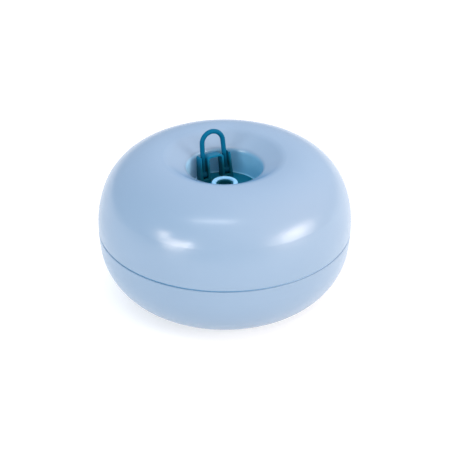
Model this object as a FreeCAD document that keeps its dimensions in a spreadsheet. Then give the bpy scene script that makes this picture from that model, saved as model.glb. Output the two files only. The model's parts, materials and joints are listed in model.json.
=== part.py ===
import FreeCAD, Part
import math
import os
import Sketcher

# Floating chlorine dispenser: a flooded tablet bowl below, a sealed ring-shaped float above, and a
# locking knob with a folding tether loop in the well of the float.  Millimetres, +Z up; the origin
# is the centre of the foot, on the ground, and the loop stands at the back left (-X, +Y).

doc = FreeCAD.newDocument("floating_chlorine_dispenser")
sheet = doc.addObject("Spreadsheet::Sheet", "Sizes")

SIZES = [
    # the common outline of both shells
    ("shell_radius", 95.0),        # greatest radius, at the equator
    ("equator_z", 59.2),           # height of the greatest radius
    ("shell_wall", 2.4),
    ("upper_side_r", 70.4),        # arc from the equator upwards
    ("upper_side_turn", 21.9),     # degrees of that arc
    ("crown_r", 43.6),             # arc over the crown
    ("crown_turn", 5.0),           # slope where the crown meets the funnel
    ("brow_r", 12.0),              # arc between crown and funnel
    ("funnel_slope", 30.0),        # slope of the funnel
    ("lip_r", 5.0),                # rounding at the well's mouth
    ("lower_side_r", 154.5),       # arc from the equator downwards
    ("lower_side_turn", 6.4),
    ("belly_r", 47.2),             # arc of the belly
    # the seam between the halves
    ("seam_z", 54.6),
    ("seam_gap", 0.9),
    ("spigot_r_out", 91.8),        # skirt of the float that enters the bowl
    ("spigot_r_in", 89.6),
    ("spigot_bottom_z", 51.9),
    ("rim_bore_r", 92.3),          # the bowl's rim around the skirt
    ("gasket_seat_z", 49.8),
    ("gasket_r_in", 89.2),
    ("gasket_height", 1.8),
    ("seat_foot_z", 44.0),         # where the seat runs out in the bowl's wall
    ("edge_round", 0.5),
    # the well
    ("mouth_r", 28.0),
    ("well_r", 27.1),
    ("ledge_z", 84.8),             # pale ledge round the knob
    ("ledge_round", 1.2),
    ("pocket_r", 26.1),            # counterbore that holds the knob
    ("pocket_z", 81.6),
    ("web_bottom_z", 79.2),
    ("web_hole_r", 15.2),
    # screw posts of the float
    ("post_count", 6),
    ("post_circle_r", 56.0),
    ("post_r", 3.6),
    ("post_top_z", 111.0),
    ("pilot_r", 1.45),
    ("pilot_depth", 14.0),
    # closing pan of the float
    ("pan_bottom_z", 52.2),
    ("pan_wall", 2.4),
    ("pan_r", 89.3),
    ("pan_rim_width", 4.6),
    ("pan_rim_height", 4.2),
    ("seal_groove_r", 87.5),
    ("seal_groove_width", 2.2),
    ("outer_seal_r", 1.05),
    ("sleeve_r_in", 19.5),
    ("sleeve_r_out", 21.9),
    ("sleeve_top_z", 77.4),
    ("inner_seal_r", 0.9),
    ("locating_rib_r_in", 22.2),
    ("locating_rib_r_out", 24.4),
    ("locating_rib_z", 74.8),
    ("screw_r", 1.45),
    ("screw_clear_r", 1.8),
    ("screw_head_r", 3.6),
    ("screw_head_height", 2.0),
    ("screw_length", 14.5),
    ("screw_socket_r", 1.5),
    ("screw_socket_depth", 1.2),
    # bowl floor
    ("foot_r_in", 44.6),
    ("recess_r", 43.6),
    ("floor_bottom_z", 9.0),
    ("floor_top_z", 11.6),
    ("floor_hole_r", 7.6),
    ("slot_count", 12),
    ("slot_width", 3.4),
    ("slot_r_in", 19.0),
    ("slot_r_out", 39.0),
    ("gusset_count", 6),
    ("gusset_width", 2.6),
    ("gusset_r_in", 66.0),
    ("gusset_r_out", 81.0),
    ("stop_angle", 45.0),          # key in the recess that limits the regulator disc
    ("stop_key_half", 1.6),
    ("stop_key_r", 41.2),
    ("stop_notch_r", 40.8),
    ("stop_slack", 1.5),
    ("regulator_turn", 15.0),
    # centre tube
    ("tube_r", 9.9),
    ("bore_r", 6.3),
    ("tube_top_z", 90.6),
    ("tube_bottom_z", 1.6),
    ("tube_round", 1.1),
    ("liner_r_in", 4.9),
    ("liner_bottom_z", 60.0),
    ("liner_round", 0.6),
    ("spigot_r", 7.4),
    ("flange_r", 14.0),
    ("flange_height", 2.4),
    ("washer_height", 1.0),
    ("lug_r", 12.2),
    ("lug_bottom_z", 75.4),
    ("lug_height", 2.6),
    ("lug_half_turn", 25.0),
    ("vent_width", 3.4),
    ("vent_bottom_z", 28.0),
    ("vent_height", 12.0),
    # nut and regulator under the floor
    ("shoulder_r", 10.5),
    ("shoulder_top_z", 9.0),
    ("nut_flange_r", 14.0),
    ("nut_flange_z", 6.0),
    ("nut_bottom_z", 2.4),
    ("nut_notch_r", 2.4),
    ("nut_notch_count", 8),
    ("nut_bore_r", 7.4),
    ("disc_r", 42.6),
    ("disc_hole_r", 10.8),
    ("disc_bottom_z", 6.5),
    ("disc_top_z", 8.7),
    ("finger_rib_bottom_z", 2.6),
    ("finger_rib_width", 3.0),
    ("finger_rib_r_in", 16.5),
    ("finger_rib_r_out", 40.0),
    ("finger_rib_count", 3),
    # tablet grid
    ("grid_r_in", 14.8),
    ("grid_r_out", 80.4),
    ("grid_bottom_z", 19.0),
    ("grid_plate", 2.4),
    ("grid_rim_width", 2.4),
    ("grid_rim_height", 4.6),
    ("grid_slot_width", 3.4),
    ("inner_row_r_in", 20.5),
    ("inner_row_r_out", 33.0),
    ("inner_row_count", 18),
    ("middle_row_r_in", 37.0),
    ("middle_row_r_out", 53.0),
    ("middle_row_count", 30),
    ("outer_row_r_in", 57.0),
    ("outer_row_r_out", 74.0),
    ("outer_row_count", 42),
    # knob
    ("knob_turn_rest", 27.0),      # the whole knob is turned by this about the well's axis
    ("knob_r", 25.8),
    ("knob_bottom_z", 82.2),
    ("knob_top_z", 85.6),
    ("knob_edge_round", 0.9),
    ("knob_bore_r", 10.4),
    ("stem_r", 14.9),
    ("stem_bottom_z", 72.6),
    ("lock_flange_top_z", 75.0),
    ("lock_bore_r", 12.8),
    ("lock_bore_top_z", 79.0),
    ("gap_half_turn", 28.0),
    ("stop_turn", 7.0),
    ("lock_turn", 75.0),
    ("groove_r", 13.9),
    ("groove_bottom_z", 77.2),
    ("groove_top_z", 78.9),
    ("retainer_r", 18.0),
    ("retainer_gap", 2.0),
    ("washer_r_in", 15.6),
    ("washer_r_out", 25.0),
    # hinge block, which leans back with the loop; its heights are measured from the pin
    ("lean_back", 9.0),
    ("pin_distance", 16.65),       # pin axis from the well's axis
    ("pin_z", 91.2),
    ("block_depth", 7.4),
    ("block_rise", 14.2),
    ("block_sink", 6.9),           # how far the foot reaches down into the disc
    ("cheek_half_top", 12.6),
    ("cheek_half_foot", 13.6),
    ("cheek_inner", 11.5),
    ("cheek_round", 0.9),
    ("slot_drop", 3.1),            # floor of the slots that take the loop's eyes
    ("arch_half", 6.8),
    ("arch_round", 3.2),
    ("arch_wall", 1.5),
    ("tunnel_drop", 5.1),
    ("block_edge", 0.35),          # rounding of the block's front and back edges
    ("pin_r", 1.2),
    ("pin_end", 12.9),
    # tether loop
    ("leg_half", 9.3),             # half distance of the legs at the pin
    ("bow_r", 8.6),                # centreline radius of the bow
    ("bow_top", 31.9),             # centreline height of the bow above the pin
    ("wire_r", 1.8),
    ("eye_r", 2.7),
    ("eye_half", 1.9),             # half thickness of an eye along the pin
    ("eye_bore_r", 1.26),
]

for row, (alias, number) in enumerate(SIZES, start=1):
    sheet.set(f"A{row}", alias)
    sheet.set(f"B{row}", str(number))
    sheet.setAlias(f"B{row}", alias)
doc.recompute()

ALIASES = {alias for alias, _ in SIZES}


def bound(text):
    """The expression with every size name written as a cell of the sheet."""
    out = []
    word = ""
    for sign in text + " ":
        if sign.isalnum() or sign == "_":
            word += sign
            continue
        out.append(f"Sizes.{word}" if word in ALIASES else word)
        word = ""
        out.append(sign)
    return "".join(out).strip()


def size(text):
    """The value of an expression in sheet sizes."""
    return float(sheet.evalExpression(bound(text)))


def bind(thing, prop, text):
    thing.setExpression(prop, bound(text))


def new_body(name):
    body = doc.addObject("PartDesign::Body", name)
    body.Label = name
    return body


def origin_feature(body, role):
    return next(f for f in body.Origin.OriginFeatures if f.Role == role)


def new_sketch(body, name, plane="XZ_Plane", lift=None):
    """A sketch on an origin plane, moved along the plane's normal by an expression."""
    sketch = body.newObject("Sketcher::SketchObject", name)
    sketch.AttachmentSupport = [(origin_feature(body, plane), "")]
    sketch.MapMode = "FlatFace"
    if lift is not None:
        bind(sketch, "AttachmentOffset.Base.z", lift)
    doc.recompute()
    return sketch


def pin_point(sketch, geo, pos, across, up):
    for kind, text in (("DistanceX", across), ("DistanceY", up)):
        index = sketch.addConstraint(Sketcher.Constraint(kind, -1, 1, geo, pos, size(text)))
        bind(sketch, f"Constraints[{index}]", text)


def arc_between(start, end, radius, turn):
    """Arc of less than half a circle; turn is +1 anticlockwise and -1 clockwise from start to end."""
    if turn < 0:
        start, end = end, start
    middle = (start + end) * 0.5
    chord = end - start
    reach = math.sqrt(max(radius ** 2 - (chord.Length / 2) ** 2, 0.0))
    normal = FreeCAD.Vector(-chord.y, chord.x, 0).normalize()
    centre = middle + normal * reach
    angles = [math.atan2(p.y - centre.y, p.x - centre.x) for p in (start, end)]
    if angles[1] < angles[0]:
        angles[1] += 2 * math.pi
    circle = Part.Circle(centre, FreeCAD.Vector(0, 0, 1), radius)
    return Part.ArcOfCircle(circle, angles[0], angles[1])


def outline(sketch, corners):
    """Closed outline.  A corner is (across, up) for a straight run to the next corner, or
    (across, up, radius, turn) for an arc.  Every corner and radius is bound to the sheet."""
    points = [FreeCAD.Vector(size(c[0]), size(c[1]), 0) for c in corners]
    runs = []
    for i, corner in enumerate(corners):
        start = points[i]
        end = points[(i + 1) % len(points)]
        if len(corner) == 2:
            geo = sketch.addGeometry(Part.LineSegment(start, end), False)
            runs.append((geo, 1, 2))
        else:
            geo = sketch.addGeometry(arc_between(start, end, size(corner[2]), corner[3]), False)
            runs.append((geo, 1, 2) if corner[3] > 0 else (geo, 2, 1))
            index = sketch.addConstraint(Sketcher.Constraint("Radius", geo, size(corner[2])))
            bind(sketch, f"Constraints[{index}]", corner[2])
    for i, (geo, first, _) in enumerate(runs):
        before, _, last = runs[i - 1]
        sketch.addConstraint(Sketcher.Constraint("Coincident", before, last, geo, first))
        pin_point(sketch, geo, first, corners[i][0], corners[i][1])
    doc.recompute()


def circle(sketch, across, up, radius):
    centre = FreeCAD.Vector(size(across), size(up), 0)
    geo = sketch.addGeometry(Part.Circle(centre, FreeCAD.Vector(0, 0, 1), size(radius)), False)
    pin_point(sketch, geo, 3, across, up)
    index = sketch.addConstraint(Sketcher.Constraint("Radius", geo, size(radius)))
    bind(sketch, f"Constraints[{index}]", radius)
    doc.recompute()


def revolve(body, name, corners, kind="Revolution"):
    """Turn an outline in the XZ plane about Z, adding (Revolution) or cutting (Groove)."""
    sketch = new_sketch(body, f"{name}_section")
    outline(sketch, corners)
    feature = body.newObject(f"PartDesign::{kind}", name)
    feature.Profile = sketch
    feature.ReferenceAxis = (sketch, ["V_Axis"])
    feature.Angle = 360
    doc.recompute()
    return feature


def extrude(body, name, sketch, length, kind="Pad", reverse=False, both=False):
    feature = body.newObject(f"PartDesign::{kind}", name)
    feature.Profile = sketch
    bind(feature, "Length", length)
    feature.Reversed = reverse
    feature.Midplane = both
    doc.recompute()
    return feature


def repeat(body, name, feature, count):
    """Copies of a feature evenly round the body's Z axis."""
    pattern = body.newObject("PartDesign::PolarPattern", name)
    pattern.Originals = [feature]
    pattern.Axis = (origin_feature(body, "Z_Axis"), [""])
    pattern.Angle = 360
    bind(pattern, "Occurrences", count)
    body.Tip = pattern
    doc.recompute()
    return pattern


def bar_outline(sketch, r_in, r_out, width):
    """A round-ended radial bar or slot along +X."""
    half = f"({width}) / 2"
    centre_in = f"{r_in} + {half}"
    centre_out = f"{r_out} - {half}"
    outline(sketch, [
        (centre_in, f"-{half}"),
        (centre_out, f"-{half}", half, 1),
        (f"{r_out}", "0", half, 1),
        (centre_out, half),
        (centre_in, half, half, 1),
        (f"{r_in}", "0", half, 1),
    ])


def sector_outline(sketch, r_in, r_out, start, end):
    """A piece of a ring between two angles in degrees, less than half a turn apart."""
    outline(sketch, [
        (f"({r_in}) * cos({start})", f"({r_in}) * sin({start})"),
        (f"({r_out}) * cos({start})", f"({r_out}) * sin({start})", r_out, 1),
        (f"({r_out}) * cos({end})", f"({r_out}) * sin({end})"),
        (f"({r_in}) * cos({end})", f"({r_in}) * sin({end})", r_in, -1),
    ])


def plain_ring(name, r_in, r_out, bottom, top):
    """A flat ring with a rectangular section."""
    body = new_body(name)
    revolve(body, "ring", [(r_in, bottom), (r_out, bottom), (r_out, top), (r_in, top)])
    return body


# Points of the common outline, each as a pair of expressions; inset moves them into the wall.

def lower_side(inset, height):
    radius = f"(lower_side_r - {inset})"
    across = f"shell_radius - lower_side_r + sqrt({radius}^2 - ({height} - equator_z)^2)"
    return (across, height, radius)


def belly_start(inset):
    radius = f"(lower_side_r - {inset})"
    return (
        f"shell_radius - lower_side_r + {radius} * cos(lower_side_turn)",
        f"equator_z - {radius} * sin(lower_side_turn)",
    )


BELLY_Z = "(equator_z - (lower_side_r - belly_r) * sin(lower_side_turn))"
BELLY_R = "shell_radius - (lower_side_r - belly_r) * (1 - cos(lower_side_turn)) - belly_r"


def belly_middle(across):
    """The point of the belly wall's middle line at a given radius."""
    return (across, f"{BELLY_Z} - sqrt((belly_r - shell_wall / 2)^2 - ({across} - ({BELLY_R}))^2)")


SHOULDER_R = "(shell_radius - (upper_side_r - crown_r) * (1 - cos(upper_side_turn)) - crown_r)"
CROWN_Z = "(equator_z + (upper_side_r - crown_r) * sin(upper_side_turn))"


def shoulder(inset):
    radius = f"(upper_side_r - {inset})"
    return (
        f"shell_radius - upper_side_r + {radius} * cos(upper_side_turn)",
        f"equator_z + {radius} * sin(upper_side_turn)",
    )


def crown_point(inset, slope):
    return (
        f"{SHOULDER_R} - (crown_r - {inset}) * sin({slope})",
        f"{CROWN_Z} + (crown_r - {inset}) * cos({slope})",
    )


def funnel_start(inset):
    across = f"{SHOULDER_R} - (crown_r - brow_r) * sin(crown_turn)"
    up = f"{CROWN_Z} + (crown_r - brow_r) * cos(crown_turn)"
    return (
        f"{across} - (brow_r - {inset}) * sin(funnel_slope)",
        f"{up} + (brow_r - {inset}) * cos(funnel_slope)",
    )


FUNNEL_R, FUNNEL_Z = funnel_start("0")
LIP_R = "(mouth_r + lip_r)"
# the funnel runs straight down from its start until it touches the lip's arc
LIP_Z = (
    f"({FUNNEL_Z} - lip_r * cos(funnel_slope)"
    f" - ({FUNNEL_R} - mouth_r - lip_r * (1 - sin(funnel_slope))) * tan(funnel_slope))"
)


def lip_point(inset, slope):
    return (
        f"{LIP_R} - (lip_r - {inset}) * sin({slope})",
        f"{LIP_Z} + (lip_r - {inset}) * cos({slope})",
    )


def make_bowl():
    body = new_body("bowl")
    rim_top = "(seam_z - seam_gap / 2)"
    rim = lower_side("0", rim_top)
    belly = belly_start("0")
    inner_top = lower_side("shell_wall", "seat_foot_z")
    inner_belly = belly_start("shell_wall")
    revolve(body, "shell", [
        ("floor_hole_r", "floor_bottom_z"),
        ("recess_r - 1", "floor_bottom_z", "1", -1),
        ("recess_r", "floor_bottom_z - 1"),
        ("recess_r", "1"),
        ("foot_r_in", "0"),
        (BELLY_R, "0", "belly_r", 1),
        (belly[0], belly[1], "lower_side_r", 1),
        (rim[0], f"{rim_top} - edge_round"),
        (f"{rim[0]} - edge_round", rim_top),
        ("rim_bore_r", rim_top),
        ("rim_bore_r", "gasket_seat_z"),
        ("gasket_r_in", "gasket_seat_z"),
        ("gasket_r_in", "gasket_seat_z - 1.4"),
        (inner_top[0], "seat_foot_z", inner_top[2], -1),
        (inner_belly[0], inner_belly[1], "belly_r - shell_wall", -1),
        (BELLY_R, "shell_wall"),
        ("recess_r + shell_wall", "shell_wall"),
        ("recess_r + shell_wall", "floor_top_z - 1.5", "1.5", 1),
        ("recess_r + shell_wall - 1.5", "floor_top_z"),
        ("floor_hole_r", "floor_top_z"),
    ])
    slot = new_sketch(body, "floor_slot_outline", "XY_Plane", "floor_top_z")
    bar_outline(slot, "slot_r_in", "slot_r_out", "slot_width")
    cut = extrude(body, "floor_slot", slot, "floor_top_z - floor_bottom_z + 1", "Pocket")
    repeat(body, "floor_slots", cut, "slot_count")
    gusset = new_sketch(body, "gusset_outline")
    outline(gusset, [
        (*belly_middle("gusset_r_in"), "belly_r - shell_wall / 2", 1),
        belly_middle("gusset_r_out"),
        ("gusset_r_out", "grid_bottom_z"),
        ("gusset_r_in + 3", "grid_bottom_z"),
        ("gusset_r_in", "grid_bottom_z - 3"),
    ])
    web = extrude(body, "gusset", gusset, "gusset_width", both=True)
    repeat(body, "gussets", web, "gusset_count")
    key = new_sketch(body, "stop_key_outline", "XY_Plane", "disc_bottom_z")
    sector_outline(
        key, "stop_key_r", "recess_r + 0.5", "stop_angle - stop_key_half", "stop_angle + stop_key_half"
    )
    extrude(body, "stop_key", key, "floor_bottom_z - disc_bottom_z + 0.5")
    return body


def make_centre_tube():
    body = new_body("centre_tube")
    flange_z = "(floor_top_z + washer_height)"
    revolve(body, "tube", [
        ("bore_r", "tube_bottom_z"),
        ("spigot_r - 0.5", "tube_bottom_z"),
        ("spigot_r", "tube_bottom_z + 0.5"),
        ("spigot_r", flange_z),
        ("flange_r", flange_z),
        ("flange_r", f"{flange_z} + flange_height"),
        ("tube_r + 1.5", f"{flange_z} + flange_height", "1.5", -1),
        ("tube_r", f"{flange_z} + flange_height + 1.5"),
        ("tube_r", "tube_top_z - tube_round", "tube_round", 1),
        ("tube_r - tube_round", "tube_top_z"),
        ("bore_r + tube_round", "tube_top_z", "tube_round", 1),
        ("bore_r", "tube_top_z - tube_round"),
    ])
    lug = new_sketch(body, "lug_outline", "XY_Plane", "lug_bottom_z")
    turn = "knob_turn_rest"
    sector_outline(lug, "tube_r - 1", "lug_r", f"{turn} - lug_half_turn", f"{turn} + lug_half_turn")
    pad = extrude(body, "lug", lug, "lug_height")
    repeat(body, "lugs", pad, "2")
    vent = new_sketch(body, "vent_outline", "XY_Plane", "vent_bottom_z")
    outline(vent, [
        ("bore_r - 2", "-vent_width / 2"),
        ("tube_r + 2", "-vent_width / 2"),
        ("tube_r + 2", "vent_width / 2"),
        ("bore_r - 2", "vent_width / 2"),
    ])
    cut = extrude(body, "vent", vent, "vent_height", "Pocket", reverse=True)
    repeat(body, "vents", cut, "2")
    return body


def make_tube_liner():
    body = new_body("tube_liner")
    top = "(tube_top_z - tube_round - 0.1)"
    revolve(body, "liner", [
        ("liner_r_in", "liner_bottom_z"),
        ("bore_r", "liner_bottom_z"),
        ("bore_r", top),
        ("liner_r_in + liner_round", top, "liner_round", 1),
        ("liner_r_in", f"{top} - liner_round"),
    ])
    return body


def make_shoulder_nut():
    body = new_body("shoulder_nut")
    revolve(body, "nut", [
        ("nut_bore_r", "nut_bottom_z"),
        ("nut_flange_r - 1", "nut_bottom_z"),
        ("nut_flange_r", "nut_bottom_z + 1"),
        ("nut_flange_r", "nut_flange_z"),
        ("shoulder_r", "nut_flange_z"),
        ("shoulder_r", "shoulder_top_z"),
        ("nut_bore_r", "shoulder_top_z"),
    ])
    notch = new_sketch(body, "notch_outline", "XY_Plane", "nut_bottom_z - 1")
    circle(notch, "nut_flange_r + 0.8", "0", "nut_notch_r")
    cut = extrude(body, "notch", notch, "nut_flange_z - nut_bottom_z + 0.4", "Pocket", reverse=True)
    repeat(body, "notches", cut, "nut_notch_count")
    return body


def make_regulator_disc():
    body = new_body("regulator_disc")
    revolve(body, "disc", [
        ("disc_hole_r", "disc_bottom_z"),
        ("disc_r - 0.5", "disc_bottom_z"),
        ("disc_r", "disc_bottom_z + 0.5"),
        ("disc_r", "disc_top_z"),
        ("disc_hole_r", "disc_top_z"),
    ])
    slot = new_sketch(body, "slot_outline", "XY_Plane", "disc_top_z")
    bar_outline(slot, "slot_r_in", "slot_r_out", "slot_width")
    cut = extrude(body, "slot", slot, "disc_top_z - disc_bottom_z + 1", "Pocket")
    repeat(body, "slots", cut, "slot_count")
    notch = new_sketch(body, "stop_notch_outline", "XY_Plane", "disc_top_z")
    sector_outline(
        notch, "stop_notch_r", "disc_r + 1",
        "stop_angle - regulator_turn - stop_key_half - stop_slack",
        "stop_angle + stop_key_half + stop_slack",
    )
    extrude(body, "stop_notch", notch, "disc_top_z - disc_bottom_z + 1", "Pocket")
    rib = new_sketch(body, "finger_rib_outline", "XY_Plane", "finger_rib_bottom_z")
    step = "180 / slot_count"
    inner = "finger_rib_r_in"
    outer = "finger_rib_r_out"
    half = "finger_rib_width / 2"
    outline(rib, [
        (f"{inner} * cos({step}) + {half} * sin({step})", f"{inner} * sin({step}) - {half} * cos({step})"),
        (f"{outer} * cos({step}) + {half} * sin({step})", f"{outer} * sin({step}) - {half} * cos({step})"),
        (f"{outer} * cos({step}) - {half} * sin({step})", f"{outer} * sin({step}) + {half} * cos({step})"),
        (f"{inner} * cos({step}) - {half} * sin({step})", f"{inner} * sin({step}) + {half} * cos({step})"),
    ])
    pad = extrude(body, "finger_rib", rib, "disc_bottom_z - finger_rib_bottom_z + 0.8")
    repeat(body, "finger_ribs", pad, "finger_rib_count")
    return body


def make_tablet_grid():
    body = new_body("tablet_grid")
    top = "(grid_bottom_z + grid_plate)"
    rim = "(grid_bottom_z + grid_rim_height)"
    revolve(body, "plate", [
        ("grid_r_in", "grid_bottom_z"),
        ("grid_r_out", "grid_bottom_z"),
        ("grid_r_out", f"{rim} - 0.6"),
        ("grid_r_out - 0.6", rim),
        ("grid_r_out - grid_rim_width", rim),
        ("grid_r_out - grid_rim_width", top),
        ("grid_r_in + grid_rim_width", top),
        ("grid_r_in + grid_rim_width", rim),
        ("grid_r_in", rim),
    ])
    for row in ("inner_row", "middle_row", "outer_row"):
        slot = new_sketch(body, f"{row}_outline", "XY_Plane", top)
        bar_outline(slot, f"{row}_r_in", f"{row}_r_out", "grid_slot_width")
        cut = extrude(body, f"{row}_slot", slot, "grid_plate + 1", "Pocket")
        repeat(body, f"{row}_slots", cut, f"{row}_count")
    return body


def make_top_shell():
    body = new_body("top_shell")
    edge = "(seam_z + seam_gap / 2)"
    seam = lower_side("0", f"{edge} + edge_round")
    inner = "shell_wall"
    revolve(body, "dome", [
        ("spigot_r_in", "spigot_bottom_z"),
        ("spigot_r_out - 0.6", "spigot_bottom_z"),
        ("spigot_r_out", "spigot_bottom_z + 0.6"),
        ("spigot_r_out", edge),
        (f"{seam[0]} - edge_round", edge),
        (seam[0], f"{edge} + edge_round", "lower_side_r", 1),
        ("shell_radius", "equator_z", "upper_side_r", 1),
        (*shoulder("0"), "crown_r", 1),
        (*crown_point("0", "crown_turn"), "brow_r", 1),
        funnel_start("0"),
        (*lip_point("0", "funnel_slope"), "lip_r", 1),
        ("mouth_r", LIP_Z),
        ("well_r", "ledge_z + ledge_round", "ledge_round", -1),
        ("well_r - ledge_round + 0.3", "ledge_z"),
        ("pocket_r", "ledge_z - 0.3"),
        ("pocket_r", "pocket_z"),
        ("web_hole_r", "pocket_z"),
        ("web_hole_r", "web_bottom_z"),
        ("locating_rib_r_in", "web_bottom_z"),
        ("locating_rib_r_in", "locating_rib_z"),
        ("locating_rib_r_out", "locating_rib_z"),
        ("locating_rib_r_out", "web_bottom_z"),
        ("well_r + shell_wall", "web_bottom_z"),
        ("well_r + shell_wall", "ledge_z"),
        ("mouth_r + shell_wall", LIP_Z, f"lip_r - {inner}", -1),
        lip_point(inner, "funnel_slope"),
        (*funnel_start(inner), f"brow_r - {inner}", -1),
        (*crown_point(inner, "crown_turn"), f"crown_r - {inner}", -1),
        (*shoulder(inner), f"upper_side_r - {inner}", -1),
        ("shell_radius - shell_wall", "equator_z"),
        ("spigot_r_in", "equator_z - 3"),
    ])
    foot = "(pan_bottom_z + pan_wall)"
    post = new_sketch(body, "post_outline", "XY_Plane", foot)
    circle(post, "post_circle_r", "0", "post_r")
    pad = extrude(body, "post", post, f"post_top_z - {foot}")
    repeat(body, "posts", pad, "post_count")
    pilot = new_sketch(body, "pilot_outline", "XY_Plane", foot)
    circle(pilot, "post_circle_r", "0", "pilot_r")
    cut = extrude(body, "pilot", pilot, "pilot_depth", "Pocket", reverse=True)
    repeat(body, "pilots", cut, "post_count")
    return body


def make_float_pan():
    body = new_body("float_pan")
    top = "(pan_bottom_z + pan_wall)"
    rim = "(pan_bottom_z + pan_rim_height)"
    groove = "(pan_bottom_z + (pan_rim_height - seal_groove_width) / 2)"
    revolve(body, "pan", [
        ("sleeve_r_in", "pan_bottom_z"),
        ("pan_r", "pan_bottom_z"),
        ("pan_r", groove),
        ("seal_groove_r", groove),
        ("seal_groove_r", f"{groove} + seal_groove_width"),
        ("pan_r", f"{groove} + seal_groove_width"),
        ("pan_r", rim),
        ("pan_r - pan_rim_width", rim),
        ("pan_r - pan_rim_width", f"{top} + 1.2", "1.2", -1),
        ("pan_r - pan_rim_width - 1.2", top),
        ("sleeve_r_out + 2", top, "2", -1),
        ("sleeve_r_out", f"{top} + 2"),
        ("sleeve_r_out", "sleeve_top_z"),
        ("sleeve_r_in", "sleeve_top_z"),
    ])
    hole = new_sketch(body, "screw_hole_outline", "XY_Plane", top)
    circle(hole, "post_circle_r", "0", "screw_clear_r")
    cut = extrude(body, "screw_hole", hole, "pan_wall + 1", "Pocket")
    repeat(body, "screw_holes", cut, "post_count")
    return body


def make_pan_screws():
    body = new_body("pan_screws")
    head = new_sketch(body, "head_outline", "XY_Plane", "pan_bottom_z - screw_head_height")
    circle(head, "post_circle_r", "0", "screw_head_r")
    heads = extrude(body, "head", head, "screw_head_height")
    shank = new_sketch(body, "shank_outline", "XY_Plane", "pan_bottom_z - 0.2")
    circle(shank, "post_circle_r", "0", "screw_r")
    shanks = extrude(body, "shank", shank, "screw_length + 0.2")
    socket = new_sketch(body, "socket_outline", "XY_Plane", "pan_bottom_z - screw_head_height")
    outline(socket, [
        (f"post_circle_r + screw_socket_r * cos({60 * k})", f"screw_socket_r * sin({60 * k})")
        for k in range(6)
    ])
    sockets = extrude(body, "socket", socket, "screw_socket_depth", "Pocket", reverse=True)
    pattern = repeat(body, "screws", heads, "post_count")
    pattern.Originals = [heads, shanks, sockets]
    doc.recompute()
    return body


def make_seal(name, centre_r, centre_z, wire_r):
    body = new_body(name)
    sketch = new_sketch(body, "seal_section")
    circle(sketch, centre_r, centre_z, wire_r)
    ring = body.newObject("PartDesign::Revolution", "seal")
    ring.Profile = sketch
    ring.ReferenceAxis = (sketch, ["V_Axis"])
    ring.Angle = 360
    doc.recompute()
    return body


def make_lock_knob():
    """Disc, stem with its bayonet flange, and the hinge block; the block faces -Y of the body,
    and the whole body is turned about Z by its Placement."""
    body = new_body("lock_knob")
    revolve(body, "disc", [
        ("knob_bore_r", "knob_top_z - 0.6"),
        ("knob_bore_r", "lock_bore_top_z"),
        ("lock_bore_r", "lock_bore_top_z"),
        ("lock_bore_r", "lock_flange_top_z"),
        ("knob_bore_r", "lock_flange_top_z"),
        ("knob_bore_r", "stem_bottom_z"),
        ("stem_r - 0.8", "stem_bottom_z"),
        ("stem_r", "stem_bottom_z + 0.8"),
        ("stem_r", "groove_bottom_z"),
        ("groove_r", "groove_bottom_z"),
        ("groove_r", "groove_top_z"),
        ("stem_r", "groove_top_z"),
        ("stem_r", "knob_bottom_z"),
        ("knob_r - 0.4", "knob_bottom_z"),
        ("knob_r", "knob_bottom_z + 0.4"),
        ("knob_r", "knob_top_z - knob_edge_round", "knob_edge_round", 1),
        ("knob_r - knob_edge_round", "knob_top_z"),
        ("knob_bore_r + 0.6", "knob_top_z"),
    ])
    gap = new_sketch(body, "gap_outline", "XY_Plane", "stem_bottom_z - 1")
    sector_outline(gap, "knob_bore_r - 2", "lock_bore_r", "-gap_half_turn", "gap_half_turn")
    cut = extrude(body, "gap", gap, "lock_flange_top_z - stem_bottom_z + 1.5", "Pocket", reverse=True)
    repeat(body, "gaps", cut, "2")
    stops = [
        ("open_stop", "-gap_half_turn - stop_turn", "-gap_half_turn"),
        (
            "locked_stop",
            "lock_turn + gap_half_turn",
            "lock_turn + gap_half_turn + stop_turn",
        ),
    ]
    for name, start, end in stops:
        stop = new_sketch(body, f"{name}_outline", "XY_Plane", "lock_flange_top_z - 0.5")
        sector_outline(stop, "knob_bore_r + 0.2", "lock_bore_r + 0.5", start, end)
        extrude(body, name, stop, "lock_bore_top_z - lock_flange_top_z + 1")
    make_hinge_block(body)
    body.Placement = turned(size("knob_turn_rest"))
    doc.recompute()
    return body


def turned(angle):
    return FreeCAD.Placement(
        FreeCAD.Vector(0, 0, 0), FreeCAD.Rotation(FreeCAD.Vector(0, 0, 1), angle)
    )


def right_cheek():
    """The outline's right half, from the outer foot over the cheek and its slot to the arch."""
    return [
        ("cheek_half_foot", "-block_sink"),
        ("cheek_half_top", "block_rise - cheek_round", "cheek_round", 1),
        ("cheek_half_top - cheek_round", "block_rise"),
        ("cheek_inner", "block_rise"),
        ("cheek_inner", "-slot_drop"),
        ("arch_half", "-slot_drop"),
        ("arch_half", "block_rise - arch_round", "arch_round", 1),
        ("arch_half - arch_round", "block_rise"),
    ]


def left_cheek():
    return [
        ("-arch_half + arch_round", "block_rise", "arch_round", 1),
        ("-arch_half", "block_rise - arch_round"),
        ("-arch_half", "-slot_drop"),
        ("-cheek_inner", "-slot_drop"),
        ("-cheek_inner", "block_rise"),
        ("-cheek_half_top + cheek_round", "block_rise", "cheek_round", 1),
        ("-cheek_half_top", "block_rise - cheek_round"),
        ("-cheek_half_foot", "-block_sink"),
    ]


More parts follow.
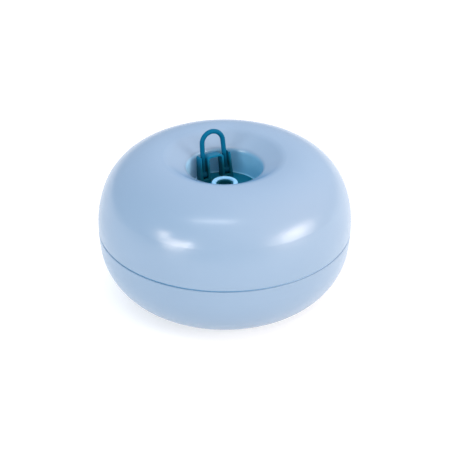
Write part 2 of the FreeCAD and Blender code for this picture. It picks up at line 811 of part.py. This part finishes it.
def leaning_sketch(body, name):
    """A sketch in the plane that leans back through the pin, with its origin on the pin."""
    sketch = new_sketch(body, name)
    sketch.AttachmentOffset = FreeCAD.Placement(
        FreeCAD.Vector(0, size("pin_z"), -size("pin_distance")),
        FreeCAD.Rotation(FreeCAD.Vector(1, 0, 0), -size("lean_back")),
    )
    bind(sketch, "AttachmentOffset.Base.y", "pin_z")
    bind(sketch, "AttachmentOffset.Base.z", "-pin_distance")
    doc.recompute()
    return sketch


def make_hinge_block(body):
    block = leaning_sketch(body, "block_outline")
    outline(block, right_cheek() + left_cheek())
    extrude(body, "block", block, "block_depth", both=True)
    tunnel = leaning_sketch(body, "tunnel_outline")
    half = "(arch_half - arch_wall)"
    round_r = "(arch_round - arch_wall)"
    ceiling = "(block_rise - arch_wall)"
    outline(tunnel, [
        (f"-{half}", "-tunnel_drop"),
        (half, "-tunnel_drop"),
        (half, f"{ceiling} - {round_r}", round_r, 1),
        (f"{half} - {round_r}", ceiling),
        (f"-{half} + {round_r}", ceiling, round_r, 1),
        (f"-{half}", f"{ceiling} - {round_r}"),
    ])
    extrude(body, "tunnel", tunnel, "block_depth + 2", "Pocket", both=True)
    pin = new_sketch(body, "pin_hole_outline", "YZ_Plane")
    circle(pin, "pin_distance", "pin_z", "pin_r")
    hole = extrude(body, "pin_hole", pin, "2 * pin_end", "Pocket", both=True)
    round_block(body, hole)


def round_block(body, base):
    """Round the outer edges of the block's front and back faces; the tunnel stays sharp."""
    to_pin = FreeCAD.Placement(
        FreeCAD.Vector(0, size("pin_distance"), size("pin_z")),
        FreeCAD.Rotation(FreeCAD.Vector(1, 0, 0), -size("lean_back")),
    ).inverse()
    half_depth = size("block_depth") / 2
    tunnel_half = size("arch_half - arch_wall") + 0.01
    tunnel_top = size("block_rise - arch_wall") + 0.01
    disc_top = size("knob_top_z - pin_z")
    edges = []
    for i, edge in enumerate(base.Shape.Edges, start=1):
        middle = edge.valueAt((edge.FirstParameter + edge.LastParameter) / 2)
        points = [to_pin * point for point in [vertex.Point for vertex in edge.Vertexes] + [middle]]
        on_face = all(abs(abs(point.y) - half_depth) < 1e-4 for point in points)
        in_tunnel = all(abs(point.x) < tunnel_half and point.z < tunnel_top for point in points)
        if on_face and not in_tunnel and points[-1].z > disc_top + 1:
            edges.append(f"Edge{i}")
    rounding = body.newObject("PartDesign::Fillet", "block_rounding")
    rounding.Base = (base, edges)
    bind(rounding, "Radius", "block_edge")
    doc.recompute()


def make_loop_pins():
    body = new_body("loop_pins")
    sketch = new_sketch(body, "pin_outline", "YZ_Plane", "arch_half - arch_wall")
    circle(sketch, "pin_distance", "pin_z", "pin_r")
    pin = extrude(body, "pin", sketch, "pin_end - arch_half + arch_wall")
    pair = body.newObject("PartDesign::Mirrored", "pair")
    pair.Originals = [pin]
    pair.MirrorPlane = (origin_feature(body, "YZ_Plane"), [""])
    body.Tip = pair
    body.Placement = turned(size("knob_turn_rest"))
    doc.recompute()
    return body


def make_knob_retainer():
    body = new_body("knob_retainer")
    section = new_sketch(body, "ring_outline", "XY_Plane", "groove_bottom_z + 0.1")
    circle(section, "0", "0", "retainer_r")
    circle(section, "0", "0", "groove_r")
    extrude(body, "ring", section, "groove_top_z - groove_bottom_z - 0.2")
    gap = new_sketch(body, "gap_outline", "XY_Plane", "groove_bottom_z - 1")
    outline(gap, [
        ("groove_r - 2", "-retainer_gap / 2"),
        ("retainer_r + 2", "-retainer_gap / 2"),
        ("retainer_r + 2", "retainer_gap / 2"),
        ("groove_r - 2", "retainer_gap / 2"),
    ])
    extrude(body, "gap", gap, "groove_top_z - groove_bottom_z + 2", "Pocket", reverse=True)
    return body


def make_tether_loop():
    """A bent round bar with an eye at each foot, drawn upright with the pin axis along X through
    the origin; the Placement leans it back and carries it to the hinge."""
    body = new_body("tether_loop")
    path = new_sketch(body, "bow_path")
    centre_z = "(bow_top - bow_r)"
    span = f"sqrt(leg_half^2 + {centre_z}^2)"
    # a straight leg leans in by this angle and touches the bow where its normal has that slope
    lean = f"(90 deg - atan({centre_z} / leg_half) - asin(bow_r / {span}))"
    touch_x = f"bow_r * cos({lean})"
    touch_z = f"{centre_z} + bow_r * sin({lean})"
    left_foot = FreeCAD.Vector(-size("leg_half"), 0, 0)
    right_foot = FreeCAD.Vector(size("leg_half"), 0, 0)
    left_top = FreeCAD.Vector(-size(touch_x), size(touch_z), 0)
    right_top = FreeCAD.Vector(size(touch_x), size(touch_z), 0)
    crown = FreeCAD.Vector(0, size("bow_top"), 0)
    path.addGeometry(Part.LineSegment(left_foot, left_top), False)
    path.addGeometry(Part.Arc(left_top, crown, right_top), False)
    path.addGeometry(Part.LineSegment(right_top, right_foot), False)
    path.addConstraint(Sketcher.Constraint("Tangent", 0, 2, 1, 2))
    path.addConstraint(Sketcher.Constraint("Tangent", 1, 1, 2, 1))
    pin_point(path, 0, 1, "-leg_half", "0")
    pin_point(path, 2, 2, "leg_half", "0")
    pin_point(path, 1, 3, "0", "bow_top - bow_r")
    index = path.addConstraint(Sketcher.Constraint("Radius", 1, size("bow_r")))
    bind(path, f"Constraints[{index}]", "bow_r")
    doc.recompute()
    section = new_sketch(body, "bar_section", "XY_Plane")
    section.AttachmentOffset = FreeCAD.Placement(
        FreeCAD.Vector(-size("leg_half"), 0, 0), FreeCAD.Rotation(FreeCAD.Vector(0, 1, 0), size(lean))
    )
    circle(section, "0", "0", "wire_r")
    bow = body.newObject("PartDesign::AdditivePipe", "bow")
    bow.Profile = section
    bow.Spine = (path, ["Edge1", "Edge2", "Edge3"])
    doc.recompute()
    for name, start in (("left", "-leg_half - eye_half"), ("right", "leg_half - eye_half")):
        eye = new_sketch(body, f"{name}_eye_outline", "YZ_Plane", start)
        circle(eye, "0", "0", "eye_r")
        extrude(body, f"{name}_eye", eye, "2 * eye_half")
    hole = new_sketch(body, "eye_bore_outline", "YZ_Plane")
    circle(hole, "0", "0", "eye_bore_r")
    extrude(body, "eye_bore", hole, "4 * leg_half", "Pocket", both=True)
    hinge = FreeCAD.Placement(
        FreeCAD.Vector(0, size("pin_distance"), size("pin_z")),
        FreeCAD.Rotation(FreeCAD.Vector(1, 0, 0), -size("lean_back")),
    )
    body.Placement = turned(size("knob_turn_rest")).multiply(hinge)
    doc.recompute()
    return body


PARTS = [
    make_bowl(),
    make_centre_tube(),
    make_tube_liner(),
    plain_ring(
        "tube_washer", "spigot_r", "flange_r", "floor_top_z", "floor_top_z + washer_height"
    ),
    make_shoulder_nut(),
    make_tablet_grid(),
    plain_ring(
        "seam_gasket", "gasket_r_in", "rim_bore_r", "gasket_seat_z", "gasket_seat_z + gasket_height"
    ),
    make_top_shell(),
    make_float_pan(),
    make_seal(
        "outer_pan_seal", "spigot_r_in - outer_seal_r", "pan_bottom_z + pan_rim_height / 2", "outer_seal_r"
    ),
    make_seal(
        "inner_pan_seal", "(sleeve_r_in + sleeve_r_out) / 2", "sleeve_top_z + inner_seal_r", "inner_seal_r"
    ),
    make_pan_screws(),
    make_lock_knob(),
    plain_ring("knob_washer", "washer_r_in", "washer_r_out", "pocket_z", "knob_bottom_z"),
    make_knob_retainer(),
    make_loop_pins(),
    make_tether_loop(),
    make_regulator_disc(),
]

doc.recompute()
os.makedirs("parts", exist_ok=True)
faults = [
    f"{thing.Name}: {thing.State}"
    for thing in doc.Objects
    if "Invalid" in thing.State or "Error" in thing.State
]
for part in PARTS:
    if part.Shape.isNull() or not part.Shape.isValid():
        faults.append(f"{part.Label}: bad shape")
if faults:
    raise SystemExit("\n".join(faults))
for part in PARTS:
    part.Shape.exportStep(f"parts/{part.Label}.step")
    box = part.Shape.BoundBox
    print(
        f"{part.Label:16s} solids {len(part.Shape.Solids)}  volume {part.Shape.Volume:10.1f}"
        f"  z {box.ZMin:7.2f} to {box.ZMax:7.2f}  r {box.XMax:6.2f}"
    )
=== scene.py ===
import json
import math

import bpy
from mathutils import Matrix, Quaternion, Vector


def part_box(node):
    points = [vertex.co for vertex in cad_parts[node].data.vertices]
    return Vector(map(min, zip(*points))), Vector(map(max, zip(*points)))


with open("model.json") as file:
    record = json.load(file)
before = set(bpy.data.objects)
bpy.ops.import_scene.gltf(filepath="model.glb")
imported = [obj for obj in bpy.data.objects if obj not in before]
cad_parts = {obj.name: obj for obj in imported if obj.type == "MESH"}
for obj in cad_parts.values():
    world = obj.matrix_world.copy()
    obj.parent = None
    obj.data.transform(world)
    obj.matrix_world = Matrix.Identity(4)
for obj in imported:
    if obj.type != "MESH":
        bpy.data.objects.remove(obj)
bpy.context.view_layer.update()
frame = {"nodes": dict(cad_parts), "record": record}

# Floating chlorine dispenser.  Every piece is a CAD node with its shape as packed.  This script
# gives the nodes moulded plastic, rubber and steel, and lights them in a plain white studio.

MM = 0.001
scene = bpy.context.scene
scene.view_settings.view_transform = "Standard"
scene.view_settings.look = "None"


# ---------------------------------------------------------------- colours

SHELL_BLUE = (0.208, 0.307, 0.434)
SHELL_BLUE_DRIFT = (0.200, 0.299, 0.426)
# Painted shade on the front brow of the mouth.
BROW_PAINTED_SHADE_BLUE = (0.12, 0.25, 0.42)
# Painted light on the well's wall: upper, lower and left-hand colours.
WELL_UPPER_PAINTED_LIGHT = (0.15, 0.35, 0.53)
WELL_LOWER_PAINTED_LIGHT = (0.19, 0.54, 0.79)
WELL_LEFT_PAINTED_LIGHT = (0.33, 0.60, 0.83)
# Painted light: the glow in the seam's gap, at the left and at the right.
SEAM_PAINTED_GLOW = (0.03, 0.14, 0.23)
SEAM_PAINTED_GLOW_RIGHT = (0.30, 0.40, 0.48)
# Painted light: the centre tube's lighter copy of the shell's blue.
TUBE_PAINTED_LIGHT_BLUE = (0.29, 0.62, 0.90)
TUBE_PAINTED_LIGHT_BLUE_DRIFT = (0.28, 0.60, 0.89)
DISC_TEAL = (0.001, 0.12, 0.20)
DISC_TEAL_DRIFT = (0.001, 0.11, 0.19)
# Painted shade on the hinge block, and painted light on its top.
BLOCK_PAINTED_SHADE_TEAL = (0.001, 0.068, 0.10)
BLOCK_TOP_PAINTED_LIGHT_TEAL = (0.001, 0.14, 0.26)
LOOP_TEAL = (0.0003, 0.050, 0.088)
LOOP_TEAL_DRIFT = (0.0003, 0.046, 0.082)
# Painted light on the top of the loop's bow.
LOOP_TOP_PAINTED_LIGHT_TEAL = (0.0003, 0.10, 0.20)
INNER_GREY = (0.62, 0.68, 0.76)
INNER_GREY_DRIFT = (0.58, 0.65, 0.74)
RUBBER_DARK = (0.02, 0.024, 0.028)
RUBBER_LIGHT = (0.04, 0.045, 0.05)
STEEL_DARK = (0.55, 0.56, 0.57)
STEEL_LIGHT = (0.68, 0.68, 0.69)
FLOOR_GREY = (0.55, 0.55, 0.55)
WHITE = (1, 1, 1)
WARM = (1, 0.88, 0.79)
ROOM_LEFT = (0.72, 0.97, 1.16)
ROOM_RIGHT = (1.26, 1.0, 0.88)
ROOM_BACK = (0.93, 1.06, 1.25)


# ---------------------------------------------------------------- places on the object

BLOCK_TOP_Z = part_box("lock_knob")[1].z
BOWL_RIM_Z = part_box("bowl")[1].z
EQUATOR_Z = 59.2 * MM
DISC_TOP_Z = 85.6 * MM
MOUTH_RADIUS = 28.0 * MM

# Each pair is where a painted shade or painted light starts and ends.
BROW_RADII = (MOUTH_RADIUS + 12.5 * MM, MOUTH_RADIUS + 19.5 * MM)
BROW_DEPTHS = (-36 * MM, -12 * MM)
WELL_RADII = (MOUTH_RADIUS + 0.1 * MM, MOUTH_RADIUS + 1.3 * MM)
WELL_FLOOR_HEIGHTS = (70 * MM, 78 * MM)
WELL_WALL_HEIGHTS = (85 * MM, 104 * MM)
WELL_LEFT_SIDE = (-24 * MM, -14 * MM)
SEAM_RADII = (93.8 * MM, 94.2 * MM)
SEAM_LOW_HEIGHTS = (BOWL_RIM_Z - 0.25 * MM, BOWL_RIM_Z - 0.15 * MM)
SEAM_HIGH_HEIGHTS = (BOWL_RIM_Z + 1.0 * MM, BOWL_RIM_Z + 1.1 * MM)
SEAM_RIGHT_SIDE = (10 * MM, 75 * MM)
BLOCK_FOOT_HEIGHTS = (DISC_TOP_Z + 0.2 * MM, DISC_TOP_Z + 0.8 * MM)
BLOCK_TOP_HEIGHTS = (BLOCK_TOP_Z - 9 * MM, BLOCK_TOP_Z - 1 * MM)
LOOP_TOP_HEIGHTS = (98 * MM, 107 * MM)


# ---------------------------------------------------------------- camera

VIEW_DISTANCE = 1.14
VIEW_ELEVATION = math.radians(30.26)
SENSOR_WIDTH_MM = 36
LENS_MM = 120.6
SHIFT_RIGHT = 0.00268
SHIFT_UP = -0.0168
CLIP_END = 200


def make_camera():
    data = bpy.data.cameras.new("camera")
    camera = bpy.data.objects.new("camera", data)
    scene.collection.objects.link(camera)
    camera.location = (
        0,
        -VIEW_DISTANCE * math.cos(VIEW_ELEVATION),
        EQUATOR_Z + VIEW_DISTANCE * math.sin(VIEW_ELEVATION),
    )
    camera.rotation_euler = (math.pi / 2 - VIEW_ELEVATION, 0, 0)
    data.sensor_width = SENSOR_WIDTH_MM
    data.lens = LENS_MM
    data.shift_x = SHIFT_RIGHT
    data.shift_y = SHIFT_UP
    data.clip_end = CLIP_END
    scene.camera = camera


# ---------------------------------------------------------------- shader helpers

# Sockets of the Mix node when it mixes colours.
MIX_FACTOR = 0
MIX_FIRST = 6
MIX_SECOND = 7
MIX_RESULT = 2

# Most of a noise texture's values lie between these two.
NOISE_LOW = 0.3
NOISE_HIGH = 0.7


def new_material(name):
    material = bpy.data.materials.new(name)
    material.use_nodes = True
    tree = material.node_tree
    tree.nodes.clear()
    output = tree.nodes.new("ShaderNodeOutputMaterial")
    shader = tree.nodes.new("ShaderNodeBsdfPrincipled")
    tree.links.new(shader.outputs["BSDF"], output.inputs["Surface"])
    return material, tree, shader


def object_coordinates(tree):
    return tree.nodes.new("ShaderNodeTexCoord").outputs["Object"]


def noise(tree, vector, scale, detail=3.0, roughness=0.5):
    """Noise with about this many blotches to the metre."""
    node = tree.nodes.new("ShaderNodeTexNoise")
    node.inputs["Scale"].default_value = scale
    node.inputs["Detail"].default_value = detail
    node.inputs["Roughness"].default_value = roughness
    tree.links.new(vector, node.inputs["Vector"])
    return node.outputs["Fac"]


def remap(tree, value, low, high, from_low=NOISE_LOW, from_high=NOISE_HIGH):
    """Low up to from_low, high from from_high on, and a straight line between them."""
    node = tree.nodes.new("ShaderNodeMapRange")
    node.inputs["From Min"].default_value = from_low
    node.inputs["From Max"].default_value = from_high
    node.inputs["To Min"].default_value = low
    node.inputs["To Max"].default_value = high
    tree.links.new(value, node.inputs["Value"])
    return node.outputs["Result"]


def rising(tree, value, start, end):
    """0 up to start, 1 from end on."""
    return remap(tree, value, 0, 1, start, end)


def falling(tree, value, start, end):
    """1 up to start, 0 from end on."""
    return remap(tree, value, 1, 0, start, end)


def multiply(tree, first, second):
    node = tree.nodes.new("ShaderNodeMath")
    node.operation = "MULTIPLY"
    tree.links.new(first, node.inputs[0])
    tree.links.new(second, node.inputs[1])
    return node.outputs["Value"]


def constant_colour(tree, colour):
    node = tree.nodes.new("ShaderNodeRGB")
    node.outputs["Color"].default_value = (*colour, 1)
    return node.outputs["Color"]


def blend_colours(tree, factor, first, second):
    node = tree.nodes.new("ShaderNodeMix")
    node.data_type = "RGBA"
    tree.links.new(factor, node.inputs[MIX_FACTOR])
    tree.links.new(first, node.inputs[MIX_FIRST])
    tree.links.new(second, node.inputs[MIX_SECOND])
    return node.outputs[MIX_RESULT]


def mix_colour(tree, factor, first, second):
    return blend_colours(tree, factor, constant_colour(tree, first), constant_colour(tree, second))


def bump(tree, height, distance):
    node = tree.nodes.new("ShaderNodeBump")
    node.inputs["Strength"].default_value = 1.0
    node.inputs["Distance"].default_value = distance
    tree.links.new(height, node.inputs["Height"])
    return node.outputs["Normal"]


def place_in_body(tree):
    """Radius from the vertical axis, distance towards the right, towards the back, and height."""
    parts = tree.nodes.new("ShaderNodeSeparateXYZ")
    tree.links.new(object_coordinates(tree), parts.inputs["Vector"])
    flat = tree.nodes.new("ShaderNodeCombineXYZ")
    tree.links.new(parts.outputs["X"], flat.inputs["X"])
    tree.links.new(parts.outputs["Y"], flat.inputs["Y"])
    length = tree.nodes.new("ShaderNodeVectorMath")
    length.operation = "LENGTH"
    tree.links.new(flat.outputs["Vector"], length.inputs[0])
    return length.outputs["Value"], parts.outputs["X"], parts.outputs["Y"], parts.outputs["Z"]


# ---------------------------------------------------------------- materials

PLASTIC_IOR = 1.49
GLOSSY = 0.24
SATIN = 0.45
DULL = 0.5
ROUGHNESS_SPREAD = 0.03
DRIFT_SCALE = 18
SMEAR_SCALE = 60
PEEL_SCALE = 420
PEEL_DEPTH = 0.01 * MM
RUBBER_ROUGHNESS = 0.65
RUBBER_SCALE = 90
RUBBER_GRAIN_SCALE = 900
RUBBER_GRAIN_DEPTH = 0.03 * MM
STEEL_ROUGHNESS = (0.22, 0.38)
STEEL_GRAIN_SCALE = 700


def moulded_plastic(name, colour, drift_colour, roughness, gloss=0.5):
    """Injection-moulded plastic: slow colour drift, uneven gloss and a faint orange peel."""
    material, tree, shader = new_material(name)
    where = object_coordinates(tree)
    drift = remap(tree, noise(tree, where, DRIFT_SCALE), 0, 1)
    tree.links.new(mix_colour(tree, drift, colour, drift_colour), shader.inputs["Base Color"])
    smear = noise(tree, where, SMEAR_SCALE, detail=5, roughness=0.6)
    uneven = remap(tree, smear, roughness - ROUGHNESS_SPREAD, roughness + ROUGHNESS_SPREAD)
    tree.links.new(uneven, shader.inputs["Roughness"])
    peel = noise(tree, where, PEEL_SCALE, detail=2)
    tree.links.new(bump(tree, peel, PEEL_DEPTH), shader.inputs["Normal"])
    shader.inputs["IOR"].default_value = PLASTIC_IOR
    shader.inputs["Specular IOR Level"].default_value = gloss
    return material


def surface_colour(material):
    """The shader of a material, and the colour that reaches it so far."""
    shader = material.node_tree.nodes["Principled BSDF"]
    return shader, shader.inputs["Base Color"].links[0].from_socket


def paint_light_and_shade_by_height(material, stops):
    """Painted light and shade: colours that each take over between two heights."""
    tree = material.node_tree
    shader, surface = surface_colour(material)
    _, _, _, height = place_in_body(tree)
    for heights, colour in stops:
        mask = rising(tree, height, *heights)
        surface = blend_colours(tree, mask, surface, constant_colour(tree, colour))
    tree.links.new(surface, shader.inputs["Base Color"])


def paint_brow_shade(tree, surface, radius, back):
    """Painted shade: the front brow of the mouth, where the shell is seen edge-on, is painted a
    deeper, darker blue.
    """
    near_mouth = falling(tree, radius, *BROW_RADII)
    at_front = falling(tree, back, *BROW_DEPTHS)
    mask = multiply(tree, near_mouth, at_front)
    return blend_colours(tree, mask, surface, constant_colour(tree, BROW_PAINTED_SHADE_BLUE))


def paint_well_light(tree, surface, radius, right, height):
    """Painted light: the well's wall is painted a more cyan blue for light through the shell,
    lightest near the ledge and at the left.
    """
    in_well = falling(tree, radius, *WELL_RADII)
    above_floor = rising(tree, height, *WELL_FLOOR_HEIGHTS)
    wall = mix_colour(tree, rising(tree, height, *WELL_WALL_HEIGHTS), WELL_LOWER_PAINTED_LIGHT, WELL_UPPER_PAINTED_LIGHT)
    at_left = falling(tree, right, *WELL_LEFT_SIDE)
    wall = blend_colours(tree, at_left, wall, constant_colour(tree, WELL_LEFT_PAINTED_LIGHT))
    return blend_colours(tree, multiply(tree, in_well, above_floor), surface, wall)


def paint_seam_glow(tree, shader, radius, right, height):
    """Painted light: the seam's gap glows faintly, more at the right, standing in for light through
    the thin skirt behind it.
    """
    at_right = rising(tree, right, *SEAM_RIGHT_SIDE)
    colour = mix_colour(tree, at_right, SEAM_PAINTED_GLOW, SEAM_PAINTED_GLOW_RIGHT)
    tree.links.new(colour, shader.inputs["Emission Color"])
    behind_edge = falling(tree, radius, *SEAM_RADII)
    above_rim = rising(tree, height, *SEAM_LOW_HEIGHTS)
    below_skirt = falling(tree, height, *SEAM_HIGH_HEIGHTS)
    glow = multiply(tree, behind_edge, multiply(tree, above_rim, below_skirt))
    tree.links.new(glow, shader.inputs["Emission Strength"])


def shell_plastic():
    """Pale blue plastic, with painted shade on the front brow and painted light on the well's wall
    and in the seam's gap.
    """
    material = moulded_plastic("shell_plastic", SHELL_BLUE, SHELL_BLUE_DRIFT, GLOSSY)
    tree = material.node_tree
    shader, surface = surface_colour(material)
    radius, right, back, height = place_in_body(tree)
    surface = paint_brow_shade(tree, surface, radius, back)
    surface = paint_well_light(tree, surface, radius, right, height)
    tree.links.new(surface, shader.inputs["Base Color"])
    paint_seam_glow(tree, shader, radius, right, height)
    return material


def knob_plastic():
    """Teal plastic with painted shade on the hinge block, which stands in the well's shade, and
    painted light on its arch.
    """
    material = moulded_plastic("knob_plastic", DISC_TEAL, DISC_TEAL_DRIFT, SATIN, gloss=0.1)
    paint_light_and_shade_by_height(material, [(BLOCK_FOOT_HEIGHTS, BLOCK_PAINTED_SHADE_TEAL), (BLOCK_TOP_HEIGHTS, BLOCK_TOP_PAINTED_LIGHT_TEAL)])
    return material


def loop_plastic():
    """The same teal in a darker shade, with painted light on the bow's top."""
    material = moulded_plastic("loop_plastic", LOOP_TEAL, LOOP_TEAL_DRIFT, DULL, gloss=0.04)
    paint_light_and_shade_by_height(material, [(LOOP_TOP_HEIGHTS, LOOP_TOP_PAINTED_LIGHT_TEAL)])
    return material


def seal_rubber():
    """Nearly black rubber with a fine grain."""
    material, tree, shader = new_material("seal_rubber")
    where = object_coordinates(tree)
    shade = remap(tree, noise(tree, where, RUBBER_SCALE, detail=4), 0, 1)
    tree.links.new(mix_colour(tree, shade, RUBBER_DARK, RUBBER_LIGHT), shader.inputs["Base Color"])
    grain = noise(tree, where, RUBBER_GRAIN_SCALE, detail=3)
    tree.links.new(bump(tree, grain, RUBBER_GRAIN_DEPTH), shader.inputs["Normal"])
    shader.inputs["Roughness"].default_value = RUBBER_ROUGHNESS
    return material


def stainless_steel():
    """Steel whose grain changes both its shade and its roughness."""
    material, tree, shader = new_material("stainless_steel")
    where = object_coordinates(tree)
    grain = noise(tree, where, STEEL_GRAIN_SCALE, detail=4)
    tree.links.new(remap(tree, grain, *STEEL_ROUGHNESS), shader.inputs["Roughness"])
    tree.links.new(mix_colour(tree, grain, STEEL_DARK, STEEL_LIGHT), shader.inputs["Base Color"])
    shader.inputs["Metallic"].default_value = 1.0
    return material


def finish_nodes():
    """Every CAD node takes its record slot's finish; the loop has its own darker teal, and the tube a
    lighter blue as painted light.
    """
    finish = {
        "shell_plastic": shell_plastic(),
        "knob_plastic": knob_plastic(),
        "inner_plastic": moulded_plastic("inner_plastic", INNER_GREY, INNER_GREY_DRIFT, SATIN),
        "seal_rubber": seal_rubber(),
        "stainless_steel": stainless_steel(),
    }
    own_colour_and_painted_light = {
        "tether_loop": loop_plastic(),
        # Painted light: the centre tube is the shell's plastic painted a lighter, more cyan blue,
        # since it stands down in the well.
        "centre_tube": moulded_plastic("tube_plastic_painted_light", TUBE_PAINTED_LIGHT_BLUE, TUBE_PAINTED_LIGHT_BLUE_DRIFT, GLOSSY),
    }
    for part in frame["record"]["subparts"]:
        mesh = frame["nodes"][part["node"]].data
        mesh.materials.clear()
        mesh.materials.append(own_colour_and_painted_light.get(part["node"], finish[part["material_slot"]]))


# ---------------------------------------------------------------- floor and light

FLOOR_HALF = 60
FLOOR_ROUGHNESS = 0.9
FLOOR_GLOW = 0.52
AIM_Z = 90 * MM
LAMP_DISTANCE = 2


def make_floor():
    """A white floor whose own glow keeps its far parts white."""
    material, tree, shader = new_material("floor")
    shader.inputs["Base Color"].default_value = (*FLOOR_GREY, 1)
    shader.inputs["Roughness"].default_value = FLOOR_ROUGHNESS
    shader.inputs["Emission Color"].default_value = (*WHITE, 1)
    shader.inputs["Emission Strength"].default_value = FLOOR_GLOW
    mesh = bpy.data.meshes.new("floor")
    corners = [(x * FLOOR_HALF, y * FLOOR_HALF, 0) for x, y in ((-1, -1), (1, -1), (1, 1), (-1, 1))]
    mesh.from_pydata(corners, [], [(0, 1, 2, 3)])
    mesh.materials.append(material)
    floor = bpy.data.objects.new("floor", mesh)
    scene.collection.objects.link(floor)


def soft_box(name, azimuth, elevation, width, height, power, roll=0, colour=WHITE):
    """An oval lamp aimed at the object; azimuth 0 is the front (-Y), 90 the right."""
    data = bpy.data.lights.new(name, "AREA")
    data.shape = "ELLIPSE"
    data.size = width
    data.size_y = height
    data.energy = power
    data.color = colour
    light = bpy.data.objects.new(name, data)
    scene.collection.objects.link(light)
    turn = math.radians(azimuth)
    rise = math.radians(elevation)
    out = Vector((math.sin(turn) * math.cos(rise), -math.cos(turn) * math.cos(rise), math.sin(rise)))
    light.location = Vector((0, 0, AIM_Z)) + LAMP_DISTANCE * out
    facing = (-out).to_track_quat("-Z", "Y")
    light.rotation_euler = (facing @ Quaternion((0, 0, 1), math.radians(roll))).to_euler()


def make_world():
    """A white room, brighter at the right, at the back and above, cooler at the left and back."""
    world = bpy.data.worlds.new("world")
    world.use_nodes = True
    tree = world.node_tree
    background = tree.nodes["Background"]
    parts = tree.nodes.new("ShaderNodeSeparateXYZ")
    tree.links.new(tree.nodes.new("ShaderNodeTexCoord").outputs["Generated"], parts.inputs["Vector"])
    right = parts.outputs["X"]
    back = parts.outputs["Y"]
    up = parts.outputs["Z"]
    side = remap(tree, right, low=0.55, high=1.15, from_low=-0.8, from_high=0.8)
    behind = remap(tree, back, low=1.0, high=1.35, from_low=-0.2, from_high=0.9)
    above = remap(tree, up, low=0.55, high=1.5, from_low=0.05, from_high=0.9)
    tree.links.new(multiply(tree, multiply(tree, side, behind), above), background.inputs["Strength"])
    colour = mix_colour(tree, rising(tree, right, -0.8, 0.8), ROOM_LEFT, ROOM_RIGHT)
    colour = blend_colours(tree, rising(tree, back, 0, 0.9), colour, constant_colour(tree, ROOM_BACK))
    tree.links.new(colour, background.inputs["Color"])
    scene.world = world


def make_lamps():
    """Two broad lamps at the sides with their bright cores, and a strip above the front."""
    soft_box("left_low", -42, 12, width=0.9, height=0.36, power=14.8, roll=20, colour=WARM)
    soft_box("left_high", -57, 20, width=0.26, height=0.44, power=5, colour=WARM)
    soft_box("left_tail", -31, 18, width=0.15, height=0.3, power=1.5)
    soft_box("right_wide", 64, 15, width=1.8, height=0.9, power=19, colour=WARM)
    soft_box("right_core", 65, 16, width=0.9, height=0.45, power=9, colour=WARM)
    soft_box("top_strip", -17, 65, width=1.3, height=0.12, power=5.5, roll=14)


finish_nodes()
make_camera()
make_floor()
make_world()
make_lamps()
